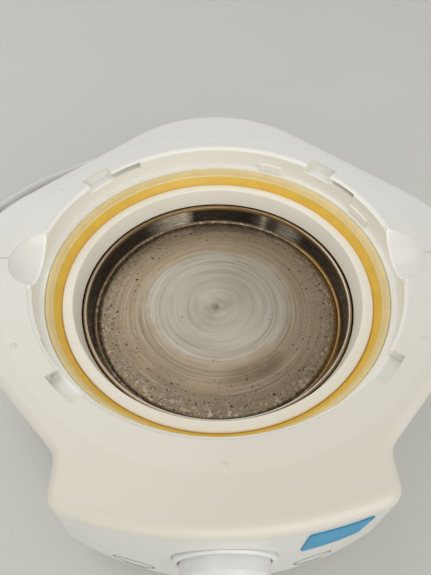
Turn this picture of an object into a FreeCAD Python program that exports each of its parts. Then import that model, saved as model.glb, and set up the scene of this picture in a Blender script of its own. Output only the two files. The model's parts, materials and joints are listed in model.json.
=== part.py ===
import FreeCAD, Part
import math
import os

# Open base of a countertop electric steam steriliser, in millimetres.
# Everything is drawn about the dish axis with the table at z = 0, +Y to the back.
# The last lines shift it along Y, so that the origin is under the middle of the object.

# Body shell
deck_z = 105.0
split_z = 24.0
foot_h = 4.0
wall = 2.5
deck_edge_r = 5.0
deck_margin = 23.0
lobe_r = 76.0
notch_r = 11.0
nose_corner_r = 8.0
nose_half_deck = 67.0
nose_half_split = 80.8
nose_reach = 13.2
nose_flare = 5.3
nose_sag_deck = 11.2
nose_sag_split = 21.5

# Base tray
tray_step = 0.8
tray_draft = 2.8
tray_bevel = 3.0
tray_wall = 3.4
tray_floor = 2.5
tongue_h = 3.0
tongue_t = 1.8
tongue_gap = 0.9
fit_gap = 0.3

# Well that takes the lid
dish_drop = 34.5
ledge_w = 2.5
well_edge = 2.0
ledge_drop = 14.3
flange_drop = 28.5
flange_t = 2.5
flange_clear = 4.0
well_band_w = 10.5
well_band_h = 10.0
well_wall = 2.2

# Lid lock pockets, stop blocks, finger scoops, deck marks
pocket_count = 4
pocket_angle = 47.5
pocket_half = 5.25
pocket_reach = 7.0
pocket_h = 6.0
slot_sweep = 12.0
slot_reach = 5.0
slot_roof = 1.6
slot_h = 3.4
block_angles = (25.6, 67.1)
block_half = 4.9
block_proud = 1.2
block_h = 3.6
block_drop = 9.4
scoop_r = 22.0
scoop_lift = 11.0
scoop_inset = 5.0
seam_w = 0.9
seam_d = 0.5
pip_count = 6
pip_reach = 12.0
pip_r = 1.9
pip_h = 0.5

# Dish, collar and seal
dish_r = 80.0
dish_depth = 12.5
dish_t = 0.8
dish_lean = 4.6
dish_bead_r = 1.3
dish_flange_w = 8.0
dish_flange_drop = 2.4
collar_gap = 0.9
collar_top = 11.0
collar_lean = 1.9
collar_land = 4.5
seal_w = 7.0
seal_slope_w = 3.6
seal_top_gap = 0.9
seal_inner_drop = 1.0

# Heating parts under the dish
spreader_margin = 18.0
spreader_t = 3.0
element_ring_r = 46.0
element_r = 3.3
element_gap_deg = 40.0
element_bend_r = 9.0
element_leg_z = 33.0
pin_r = 1.6
pin_len = 11.0
thermostat_r = 8.5
thermostat_h = 9.0
bracket_x = 17.0
sensor_x = 26.0
sensor_r = 2.4
sensor_len = 14.0
clip_t = 0.8
seat_gap = 0.05

# Clamps and heat shield
clamp_count = 3
clamp_boss_gap = 0.5
clamp_boss_r = 4.5
clamp_t = 2.0
clamp_w = 12.0
shield_t = 1.0
shield_floor_z = 36.5
leg_hole_r = 5.5

# Screws
screw_r = 1.9
screw_head_r = 3.8
screw_head_h = 2.6
hole_gap = 0.1
post_r = 5.0
post_grip = 16.0
tray_boss_r = 6.5
base_grip = 8.0
side_post_inset = 3.0
back_post_x = 52.0
back_post_inset = 19.0
front_post_inset = 10.69
front_post_y = -76.0
back_foot_inset = (51.0, 53.0)
front_foot_x = 60.0
front_foot_inset = 23.0
foot_r = 9.0
foot_stem_r = 3.0
foot_stem_h = 4.5

# Dial on the leaning front panel, along the panel's normal
dial_z = 64.0
bezel_r = 22.4
bezel_lip = 2.4
bezel_proud = 1.0
dial_seat = 2.2
dial_seat_t = 3.0
dial_seat_rim = 0.8
dial_gap = 0.4
dial_h = 8.5
dial_skin = 2.2
dial_foot_gap = 0.6
pointer_w = 1.6
pointer_d = 0.5
pointer_inset = 2.5
cap_r = 9.0
cap_gap = 0.3
cap_flange = 1.5
cap_flange_t = 1.5
cap_travel = 1.5
hub_r = 5.5
shaft_r = 3.0
shaft_gap = 0.05
shaft_len = 16.0
encoder_side = 14.0
encoder_t = 7.0
encoder_neck_r = 4.5
board_gap = 16.0
board_w = 96.0
board_h = 46.0
board_t = 1.6
board_hole_x = 42.0
board_hole_y = 18.0
board_post_r = 3.5
board_screw_r = 1.4
board_screw_head_r = 2.8
board_screw_head_h = 2.0
relay_x = 14.0
relay_w = 19.0
relay_h = 16.0
relay_t = 15.0
core_x = -34.0
core_w = 22.0
core_h = 22.0
core_t = 12.0
winding_w = 14.0
winding_h = 28.0
winding_lift = 1.0

# Badge plate on the panel
badge_x = 44.9
badge_z = 80.4
badge_w = 26.2
badge_h = 28.0
badge_corner = 2.2
badge_t = 0.5

# Mains lead
cord_d = 7.0
cord_z = 14.0
cord_bends = ((0.0, 188.0, 14.0), (-5.0, 208.0, 8.0), (-22.0, 227.0, 3.8), (-50.0, 239.0, 3.7),
              (-82.0, 240.0, 3.7), (-113.0, 230.0, 3.7), (-140.0, 213.0, 3.7), (-175.0, 188.0, 3.7))
gland_inset = 3.64
cord_clamp_inset = 22.0
clamp_post_r = 3.6
clamp_post_x = 9.0
clamp_bar_t = 3.0
gland_hole_r = 6.0
gland_flange_r = 8.6
gland_flange_t = 3.0
gland_nut_r = 7.2
boot_len = 33.0
boot_tip_r = 4.6
boot_rib_count = 5
boot_rib_step = 5.0
cord_block_w = 24.0
cord_block_t = 10.0
block_inset = 44.0
block_l = 16.0
block_w = 30.0
block_h_term = 16.0
lead_r = 1.3
coil_x = -193.6
coil_y = 91.6
coil_z = 4.9
coil_r = 44.2
coil_pitch = 8.6
coil_layer = 8.0
coil_start_deg = 140.0
coil_turns = 1.0
coil_run_in = 42.0
tie_deg = 50.0
tie_w = 6.0
tie_t = 0.9
tie_gap = 0.4
plug_z = 7.2
plug_lead_steps = ((0.0, 0.0), (16.0, 0.0), (38.0, 0.6), (60.0, 1.0), (76.0, 1.0))
plug_edge_r = 2.5
plug_l = 36.0
plug_w = 34.0
plug_tail_w = 12.0
plug_t = 14.0
plug_pin_r = 2.0
plug_pin_l = 19.0
plug_pin_gap = 19.0

V = FreeCAD.Vector
up = V(0, 0, 1)
root2 = math.sqrt(2.0)
dish_z = deck_z - dish_drop
ledge_z = deck_z - ledge_drop
flange_z = deck_z - flange_drop
flange_r = dish_r + flange_clear
dish_floor_r = dish_r - dish_lean
dish_flange_r = dish_r + dish_flange_w
collar_crest_r = dish_r + collar_gap + collar_lean
collar_r_out = flange_r + collar_land
seal_mid_r = collar_r_out + seal_slope_w
seal_r_out = collar_r_out + seal_w
well_r = seal_r_out + ledge_w
side_reach = well_r + deck_margin
back_reach = root2 * (side_reach - lobe_r) + lobe_r
nose_front_deck = -side_reach - nose_reach
nose_corner_y_deck = nose_front_deck + nose_sag_deck
nose_front_split = nose_front_deck - nose_flare
nose_corner_y_split = nose_front_split + nose_sag_split
spreader_r = dish_r - spreader_margin
spreader_top = dish_z - dish_depth - dish_t
spreader_low = spreader_top - spreader_t
clamp_ring_r = dish_flange_r + clamp_boss_gap + clamp_boss_r
clamp_face_z = dish_z - dish_flange_drop - dish_t
shield_wall_r = flange_r
gland_y = back_reach - gland_inset
clamp_bar_y = gland_y - cord_clamp_inset
block_y = gland_y - block_inset
clamp_bar_z = cord_z + cord_d / 2
right_posts = ((side_reach - side_post_inset, 0.0), (back_post_x, side_reach - back_post_inset),
               (root2 * (side_reach - front_post_inset) + front_post_y, front_post_y))
base_posts = [(side * x, y) for x, y in right_posts for side in (1, -1)]
right_feet = ((side_reach - back_foot_inset[0], side_reach - back_foot_inset[1]),
              (front_foot_x, front_foot_inset - side_reach))
foot_places = [(side * x, y) for x, y in right_feet for side in (1, -1)]
well_band_r = well_r + well_band_w
pocket_r = well_r + pocket_reach
slot_r = well_r + slot_reach
scoop_reach = well_r - scoop_inset
pip_ring_r = well_r + pip_reach
shapes = {}


def polar(radius, degrees, z=0.0):
    a = math.radians(degrees)
    return V(radius * math.cos(a), radius * math.sin(a), z)


def post(radius, low, high, x=0.0, y=0.0):
    return Part.makeCylinder(radius, high - low, V(x, y, low), up)


def turned(points):
    corners = [V(r, 0, z) for r, z in points]
    face = Part.Face(Part.makePolygon(corners + corners[:1]))
    return face.revolve(V(0, 0, 0), up, 360)


def block(x0, x1, y0, y1, z0, z1):
    return Part.makeBox(x1 - x0, y1 - y0, z1 - z0, V(x0, y0, z0))


def wedge(r_in, r_out, start, end, low, high):
    # a slice of a ring between two angles
    mid = (start + end) / 2
    outer = Part.Arc(polar(r_out, start, low), polar(r_out, mid, low), polar(r_out, end, low)).toShape()
    inner = Part.Arc(polar(r_in, end, low), polar(r_in, mid, low), polar(r_in, start, low)).toShape()
    edges = [outer, Part.makeLine(polar(r_out, end, low), polar(r_in, end, low)),
             inner, Part.makeLine(polar(r_in, start, low), polar(r_out, start, low))]
    return Part.Face(Part.Wire(edges)).extrude(V(0, 0, high - low))


def arc_edge(a, b, c):
    return Part.Arc(a, b, c).toShape()


# Plan outline: a rounded square standing on its corner, with a control nose at the front

def nose_at(z):
    share = (z - split_z) / (deck_z - split_z)
    half = nose_half_split + share * (nose_half_deck - nose_half_split)
    corner_y = nose_corner_y_split + share * (nose_corner_y_deck - nose_corner_y_split)
    front = nose_front_split + share * (nose_front_deck - nose_front_split)
    return half, corner_y, front


def outline(z, inset):
    half, corner_y, front = nose_at(max(z, split_z))
    sag = corner_y - front
    front_r = (half * half + sag * sag) / (2 * sag)
    front_y = front + front_r
    side = side_reach - inset
    lobe = lobe_r - inset
    notch = notch_r + inset
    corner = nose_corner_r - inset
    x_nose = half - inset
    arc_r = front_r - inset
    lobe_mid = root2 * (side - lobe)
    notch_mid = V(x_nose + notch, x_nose + notch - root2 * (side + notch), z)
    corner_mid = V(x_nose - corner, front_y - math.sqrt((arc_r - corner) ** 2 - (x_nose - corner) ** 2), z)
    reach = V(corner_mid.x, corner_mid.y - front_y, 0)
    reach.normalize()
    touch = V(reach.x * arc_r, front_y + reach.y * arc_r, z)
    bisect = V(reach.x + 1.0, reach.y, 0)
    bisect.normalize()

    def mirror(p):
        return V(-p.x, p.y, p.z)

    def on_lobe(middle, degrees):
        return middle + polar(lobe, degrees)

    right = V(lobe_mid, 0, z)
    back = V(0, lobe_mid, z)
    left = V(-lobe_mid, 0, z)
    notch_side = notch_mid + polar(notch, 135)
    notch_half = notch_mid + polar(notch, 157.5)
    notch_nose = notch_mid + polar(notch, 180)
    corner_side = V(x_nose, corner_mid.y, z)
    corner_half = corner_mid + bisect * corner
    edges = [
        Part.makeLine(notch_side, on_lobe(right, -45)),
        arc_edge(on_lobe(right, -45), on_lobe(right, 0), on_lobe(right, 45)),
        Part.makeLine(on_lobe(right, 45), on_lobe(back, 45)),
        arc_edge(on_lobe(back, 45), on_lobe(back, 90), on_lobe(back, 135)),
        Part.makeLine(on_lobe(back, 135), on_lobe(left, 135)),
        arc_edge(on_lobe(left, 135), on_lobe(left, 180), on_lobe(left, 225)),
        Part.makeLine(on_lobe(left, 225), mirror(notch_side)),
        arc_edge(mirror(notch_side), mirror(notch_half), mirror(notch_nose)),
        Part.makeLine(mirror(notch_nose), mirror(corner_side)),
        arc_edge(mirror(corner_side), mirror(corner_half), mirror(touch)),
        arc_edge(mirror(touch), V(0, front_y - arc_r, z), touch),
        arc_edge(touch, corner_half, corner_side),
        Part.makeLine(corner_side, notch_nose),
        arc_edge(notch_nose, notch_half, notch_side),
    ]
    return Part.Wire(edges)


def body_loft(levels):
    return Part.makeLoft([outline(z, inset) for z, inset in levels], True, True)


# Panel frame: u along X, v up the panel, w out of the panel

lean = math.atan2(nose_front_deck - nose_front_split, deck_z - split_z)
panel_out = V(0, -math.cos(lean), math.sin(lean))
dial_point = V(0, nose_at(dial_z)[2], dial_z)
panel_place = FreeCAD.Placement(dial_point, FreeCAD.Rotation(up, panel_out))


def on_panel(shape):
    moved = shape.copy()
    moved.Placement = panel_place.multiply(moved.Placement)
    return moved


# Round tubes along straight runs joined by tangent arcs

def route_wire(points, name):
    edges = []
    radii = []
    here = points[0]
    for i in range(1, len(points) - 1):
        before = points[i - 1] - points[i]
        after = points[i + 1] - points[i]
        turn = math.pi - before.getAngle(after)
        cut = 0.45 * min(before.Length, after.Length)
        radii.append(cut / math.tan(turn / 2))
        before.normalize()
        after.normalize()
        start = points[i] + before * cut
        end = points[i] + after * cut
        inward = before + after
        inward.normalize()
        middle = points[i] + inward * (radii[-1] / math.cos(turn / 2) - radii[-1])
        edges.append(Part.LineSegment(here, start).toShape())
        edges.append(Part.Arc(start, middle, end).toShape())
        here = end
    edges.append(Part.LineSegment(here, points[-1]).toShape())
    if name:
        print(name, "arc radii", [round(r, 1) for r in radii])
    return Part.Wire(edges)


def swept(wire, radius, name=""):
    first = wire.OrderedEdges[0]
    start = first.valueAt(first.FirstParameter)
    heading = first.tangentAt(first.FirstParameter)
    ring = Part.Wire([Part.makeCircle(radius, start, heading)])
    solid = wire.makePipeShell([ring], True, False)
    if name:
        want = math.pi * radius * radius * wire.Length
        print(name, "length", round(wire.Length, 1), "volume share", round(solid.Volume / want, 4))
    return solid


def biarc(p1, t1, p2, t2):
    # two tangent arcs from p1 heading t1 to p2 heading t2
    chord = p2 - p1
    both = t1 + t2
    k = 2 * (1 - t1.dot(t2))
    d = (-chord.dot(both) + math.sqrt(chord.dot(both) ** 2 + k * chord.dot(chord))) / k
    joint = (p1 + p2 + (t1 - t2) * d) * 0.5

    def half(a, b, corner):
        mid = (a + b) * 0.5
        rise = corner - mid
        half_chord = (b - a).Length / 2
        alpha = math.atan2(rise.Length, half_chord)
        return Part.Arc(a, mid + rise * (half_chord * math.tan(alpha / 2) / rise.Length), b).toShape()

    return [half(p1, joint, p1 + t1 * d), half(joint, p2, p2 - t2 * d)]


def save(name, shape):
    shapes[name] = shape


# Upper housing

def upper_housing():
    outer = body_loft([(split_z, 0.0), (deck_z, 0.0)])
    plain = outer.copy()
    top_edges = [e for e in outer.Edges if all(abs(v.Z - deck_z) < 0.01 for v in e.Vertexes)]
    outer = outer.makeFillet(deck_edge_r, top_edges)
    inner = body_loft([(split_z, wall), (deck_z - wall, wall)])
    shell = outer.cut(inner)
    shell = shell.cut(post(well_band_r - 2.0, deck_z - wall - 1.0, deck_z + 1.0))
    well = turned([(well_r + well_edge, deck_z), (well_r, deck_z - well_edge), (well_r, ledge_z),
                   (seal_r_out, ledge_z), (seal_r_out, flange_z), (flange_r, flange_z),
                   (flange_r, flange_z - flange_t), (well_r + well_wall, flange_z - flange_t),
                   (well_r + well_wall, deck_z - well_band_h - 3.0), (well_band_r, deck_z - well_band_h),
                   (well_band_r, deck_z)])
    adds = [well]
    around = post(side_reach - wall, flange_z, deck_z - 0.5).cut(post(well_r + 0.5, flange_z, deck_z))
    for side in (-1, 1):
        ball = Part.makeSphere(scoop_r + wall, V(side * scoop_reach, 0, deck_z + scoop_lift))
        adds.append(ball.common(around))
    for x, y in base_posts:
        adds.append(post(post_r, split_z + tongue_h / 2, deck_z - wall / 2, x, y))
    for i in range(clamp_count):
        p = polar(clamp_ring_r, 90 + 360 / clamp_count * i)
        adds.append(post(clamp_boss_r, clamp_face_z, flange_z - flange_t / 2, p.x, p.y))
    seat_t = dial_seat_t + dial_seat
    seat = Part.makeCylinder(bezel_r + dial_seat_rim, seat_t, V(0, 0, -dial_seat - dial_seat_t), up)
    adds.append(on_panel(seat).common(plain))
    for u in (-board_hole_x, board_hole_x):
        for v in (-board_hole_y, board_hole_y):
            leg = Part.makeCylinder(board_post_r, board_gap, V(u, v, -board_gap), up)
            adds.append(on_panel(leg).common(plain))
    body = shell.fuse(adds)
    cuts = []
    for side in (-1, 1):
        cuts.append(Part.makeSphere(scoop_r, V(side * scoop_reach, 0, deck_z + scoop_lift)))
        seam_start = scoop_reach + math.sqrt(scoop_r ** 2 - scoop_lift ** 2)
        seam_x = sorted((side * seam_start, side * 2 * side_reach))
        cuts.append(block(seam_x[0], seam_x[1], -seam_w / 2, seam_w / 2, deck_z - seam_d, deck_z + 1.0))
    for i in range(pocket_count):
        at = pocket_angle + 360 / pocket_count * i
        cuts.append(wedge(well_r - 2.0, pocket_r, at - pocket_half, at + pocket_half,
                          deck_z - pocket_h, deck_z + 1))
        cuts.append(wedge(well_r - 2.0, slot_r, at - pocket_half - slot_sweep, at,
                          deck_z - slot_roof - slot_h, deck_z - slot_roof))
    for x, y in base_posts:
        cuts.append(post(screw_r + hole_gap, split_z, split_z + tongue_h / 2 + post_grip + 1.0, x, y))
    for i in range(clamp_count):
        p = polar(clamp_ring_r, 90 + 360 / clamp_count * i)
        cuts.append(post(screw_r + hole_gap, clamp_face_z - 1.0, flange_z - flange_t - 0.5, p.x, p.y))
    cuts.append(on_panel(Part.makeCylinder(bezel_r + fit_gap, dial_seat + dial_h, V(0, 0, -dial_seat), up)))
    cuts.append(on_panel(Part.makeCylinder(encoder_neck_r + fit_gap, 2 * board_gap, V(0, 0, -board_gap), up)))
    for u in (-board_hole_x, board_hole_x):
        for v in (-board_hole_y, board_hole_y):
            hole = Part.makeCylinder(board_screw_r + hole_gap, board_gap / 3, V(u, v, -board_gap - 0.1), up)
            cuts.append(on_panel(hole))
    body = body.cut(cuts)
    trims = []
    for at in block_angles:
        low = deck_z - block_drop - block_h
        trims.append(wedge(well_r - block_proud, well_r + 1.0, at - block_half, at + block_half,
                           low, low + block_h))
    ball_r = (pip_r ** 2 + pip_h ** 2) / (2 * pip_h)
    for i in range(pip_count):
        p = polar(pip_ring_r, 90 + 360 / pip_count * i, deck_z + pip_h - ball_r)
        ball = Part.makeSphere(ball_r, p)
        trims.append(ball.common(post(pip_r * 2, deck_z - 0.6, deck_z + 2, p.x, p.y)))
    return body.fuse(trims).removeSplitter()


# Base tray with its screw bosses and cord block

def tray_inset(z):
    return tray_step + tray_draft * (split_z - z) / (split_z - foot_h)


def base_tray():
    edge_z = foot_h + tray_bevel
    floor_z = foot_h + tray_floor
    outer = body_loft([(foot_h, tray_inset(foot_h) + tray_bevel), (edge_z, tray_inset(edge_z)),
                       (split_z, tray_inset(split_z))])
    inner = body_loft([(floor_z, tray_inset(floor_z) + tray_wall), (split_z + 1.0, tray_step + tray_wall)])
    tray = outer.cut(inner)
    rim_out = wall + tongue_gap
    tongue = body_loft([(split_z - 2.0, rim_out), (split_z + tongue_h, rim_out)])
    rim_in = rim_out + tongue_t
    tongue = tongue.cut(body_loft([(split_z - 3.0, rim_in), (split_z + tongue_h + 1.0, rim_in)]))
    adds = [tongue]
    for x, y in base_posts:
        adds.append(post(tray_boss_r, floor_z - 1.0, split_z + tongue_h / 2, x, y))
    half = cord_block_w / 2
    adds.append(block(-half, half, gland_y - cord_block_t, gland_y + 0.5, floor_z - 1.0, split_z - 1.0))
    for side in (-1, 1):
        adds.append(post(clamp_post_r, floor_z - 1.0, clamp_bar_z, side * clamp_post_x, clamp_bar_y))
    tray = tray.fuse(adds)
    cuts = []
    head_z = base_head_z()
    for x, y in base_posts:
        cuts.append(post(screw_head_r + 0.8, foot_h - 1.0, head_z, x, y))
        cuts.append(post(screw_r + hole_gap, head_z - 1.0, split_z + tongue_h, x, y))
    for x, y in foot_places:
        cuts.append(post(foot_stem_r + hole_gap, foot_h - 1.0, floor_z + 1.0, x, y))
    back = V(0, 1, 0)
    gland_start = V(0, gland_y - 3 * cord_block_t, cord_z)
    cuts.append(Part.makeCylinder(gland_hole_r + hole_gap, 4 * cord_block_t, gland_start, back))
    cuts.append(Part.makeCylinder(gland_flange_r + fit_gap, boot_len, V(0, gland_y, cord_z), back))
    for side in (-1, 1):
        x = side * clamp_post_x
        cuts.append(post(board_screw_r + hole_gap, floor_z + 2.0, clamp_bar_z + 1, x, clamp_bar_y))
    return tray.cut(cuts).removeSplitter()


def base_head_z():
    return split_z - base_grip


def base_screws():
    solids = []
    for x, y in base_posts:
        head = base_head_z()
        shank = post(screw_r, head - 0.5, split_z + tongue_h / 2 + post_grip, x, y)
        solids.append(post(screw_head_r, head - screw_head_h, head, x, y).fuse(shank).removeSplitter())
    return Part.makeCompound(solids)


def feet():
    solids = []
    for x, y in foot_places:
        pad = post(foot_r, 0.0, foot_h, x, y)
        pad = pad.makeFillet(1.2, [e for e in pad.Edges if abs(e.CenterOfMass.z) < 0.01])
        solids.append(pad.fuse(post(foot_stem_r, foot_h - 0.5, foot_h + foot_stem_h, x, y)).removeSplitter())
    return Part.makeCompound(solids)


# Dish and the rings round it

def heating_dish():
    floor = dish_z - dish_depth
    low = floor - dish_t
    rim = dish_z
    flange = dish_z - dish_flange_drop
    profile = [(0, floor), (dish_floor_r - 3.0, floor), (dish_floor_r - 0.9, floor + 0.9),
               (dish_floor_r, floor + 3.0), (dish_r - 2 * dish_bead_r, rim - dish_bead_r),
               (dish_r - 1.6 * dish_bead_r, rim - 0.35), (dish_r - dish_bead_r, rim),
               (dish_r - 0.4 * dish_bead_r, rim - 0.35), (dish_r, rim - dish_bead_r),
               (dish_r, flange), (dish_flange_r, flange), (dish_flange_r, flange - dish_t),
               (dish_r - dish_t, flange - dish_t), (dish_floor_r + dish_t, low + 3.5),
               (dish_floor_r, low + 0.9), (dish_floor_r - 2.6, low), (0, low)]
    return turned(profile)


def dish_gasket():
    return turned([(flange_r + 0.4, dish_z - dish_flange_drop), (dish_flange_r, dish_z - dish_flange_drop),
                   (dish_flange_r, flange_z - flange_t), (flange_r + 0.4, flange_z - flange_t)])


def dish_collar():
    top = dish_z + collar_top
    foot = dish_z + 0.6
    skirt = flange_r - fit_gap
    return turned([(dish_r + collar_gap, foot), (collar_crest_r, top - 0.6), (collar_crest_r + 0.6, top),
                   (collar_r_out - 0.5, top), (collar_r_out, top - 0.5), (collar_r_out, flange_z),
                   (skirt, flange_z), (skirt, foot)])


def lid_seal():
    inner = collar_r_out + 0.2
    outer = seal_r_out - 0.1
    low = dish_z + collar_top - seal_inner_drop
    high = ledge_z - seal_top_gap
    middle = low + (high - low) * 0.58
    return turned([(inner, flange_z), (outer, flange_z), (outer, high - 0.6), (outer - 0.6, high),
                   (outer - 1.2, high), (seal_mid_r + 0.5, middle + 0.9), (seal_mid_r + 0.1, middle + 0.7),
                   (seal_mid_r, middle), (inner, low)])


# Heating parts

def heat_spreader():
    disc = post(spreader_r, spreader_low, spreader_top)
    holes = []
    for s in (-1, 1):
        holes.append(post(board_screw_r + hole_gap, spreader_low - 1, spreader_top - 0.6, s * bracket_x, 0))
    return disc.cut(holes)


def element_path():
    z = spreader_low - element_r - seat_gap
    gap = element_gap_deg / 2
    ends = []
    for side in (1, -1):
        at = 90 - side * gap
        start = polar(element_ring_r, at, z)
        along = polar(1.0, at + side * 90)
        foot = start + along * element_bend_r + V(0, 0, -element_bend_r)
        swing = start + along * (element_bend_r * math.sin(math.pi / 4))
        swing = swing - V(0, 0, element_bend_r * (1 - math.cos(math.pi / 4)))
        ends.append((V(foot.x, foot.y, element_leg_z), foot, swing, start, at))
    right, left = ends
    edges = [Part.LineSegment(right[0], right[1]).toShape(), Part.Arc(right[1], right[2], right[3]).toShape()]
    sweep = 360 - element_gap_deg
    for i in range(4):
        a = right[4] - sweep * i / 4
        b = right[4] - sweep * (i + 1) / 4
        edges.append(Part.Arc(polar(element_ring_r, a, z), polar(element_ring_r, (a + b) / 2, z),
                              polar(element_ring_r, b, z)).toShape())
    edges.append(Part.Arc(left[3], left[2], left[1]).toShape())
    edges.append(Part.LineSegment(left[1], left[0]).toShape())
    return Part.Wire(edges), right[0], left[0]


def heating_parts():
    path, right, left = element_path()
    save("heating_element", swept(path, element_r, "heating_element"))
    pins = [post(pin_r, element_leg_z - pin_len, element_leg_z, p.x, p.y) for p in (right, left)]
    save("element_terminals", Part.makeCompound(pins))
    save("heat_spreader", heat_spreader())
    top = spreader_low - seat_gap
    low = top - thermostat_h
    can = post(thermostat_r, low + 3.0, top).fuse(post(thermostat_r - 1.0, low, low + 3.5))
    save("thermostat", can.removeSplitter())
    tab = thermostat_r + 1.0
    strap = block(-bracket_x - 5, bracket_x + 5, -5, 5, low - 1.2, low)
    legs = [block(min(s * tab, s * (bracket_x + 5)), max(s * tab, s * (bracket_x + 5)), -5, 5, low - 1.2,
                  spreader_low) for s in (-1, 1)]
    bores = [post(board_screw_r + hole_gap, low - 3, spreader_low + 1, s * bracket_x, 0) for s in (-1, 1)]
    save("thermostat_bracket", strap.fuse(legs).cut(bores).removeSplitter())
    screws = []
    for s in (-1, 1):
        head = post(board_screw_head_r, low - 1.2 - board_screw_head_h, low - 1.2, s * bracket_x, 0)
        shank = post(board_screw_r, low - 1.5, spreader_top - 1.0, s * bracket_x, 0)
        screws.append(head.fuse(shank).removeSplitter())
    save("bracket_screws", Part.makeCompound(screws))
    mid = spreader_low - sensor_r - seat_gap
    along = V(0, 1, 0)
    save("thermal_fuse", Part.makeCylinder(sensor_r, sensor_len, V(sensor_x, -sensor_len / 2, mid), along))
    bulb = Part.makeCylinder(sensor_r, sensor_len, V(-sensor_x, -sensor_len / 2, mid), along)
    nose_edges = [e for e in bulb.Edges if abs(e.CenterOfMass.y + sensor_len / 2) < 0.01]
    bulb = bulb.makeFillet(sensor_r * 0.6, nose_edges)
    save("temperature_sensor", bulb)
    clips = []
    for s in (-1, 1):
        x = s * sensor_x
        r = sensor_r + seat_gap
        hoop = block(x - r - clip_t, x + r + clip_t, -3, 3, mid - r - clip_t, spreader_low)
        hoop = hoop.cut(block(x - r, x + r, -4, 4, mid - r, spreader_low + 1))
        ear = sorted((x + s * r, x + s * (r + 6)))
        foot = block(ear[0], ear[1], -3, 3, spreader_low - clip_t, spreader_low)
        clips.append(hoop.fuse(foot).removeSplitter())
    save("sensor_clips", Part.makeCompound(clips))
    return right, left


def dish_clamps():
    solids = []
    for i in range(clamp_count):
        at = 90 + 360 / clamp_count * i
        inner = flange_r + 1.0
        outer = clamp_ring_r + clamp_boss_r
        bar = block(inner, outer, -clamp_w / 2, clamp_w / 2, clamp_face_z - clamp_t, clamp_face_z)
        bar = bar.cut(post(screw_r + hole_gap, 0, deck_z, clamp_ring_r, 0))
        bar.rotate(V(0, 0, 0), up, at)
        solids.append(bar)
    return Part.makeCompound(solids)


def heat_shield(legs):
    top = clamp_face_z - clamp_t
    out = clamp_ring_r + clamp_boss_r
    pan = turned([(0, shield_floor_z), (shield_wall_r, shield_floor_z), (shield_wall_r, top - shield_t),
                  (out, top - shield_t), (out, top), (shield_wall_r - shield_t, top),
                  (shield_wall_r - shield_t, shield_floor_z + shield_t), (0, shield_floor_z + shield_t)])
    cuts = [post(leg_hole_r, shield_floor_z - 1, shield_floor_z + 2, p.x, p.y) for p in legs]
    for i in range(clamp_count):
        p = polar(clamp_ring_r, 90 + 360 / clamp_count * i)
        cuts.append(post(screw_r + hole_gap, 0, deck_z, p.x, p.y))
    return pan.cut(cuts)


def clamp_screws():
    solids = []
    low = clamp_face_z - clamp_t - shield_t
    for i in range(clamp_count):
        p = polar(clamp_ring_r, 90 + 360 / clamp_count * i)
        head = post(screw_head_r, low - screw_head_h, low, p.x, p.y)
        shank = post(screw_r, low - 0.5, flange_z - flange_t - 0.6, p.x, p.y)
        solids.append(head.fuse(shank).removeSplitter())
    return Part.makeCompound(solids)


# Controls on the panel

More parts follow.
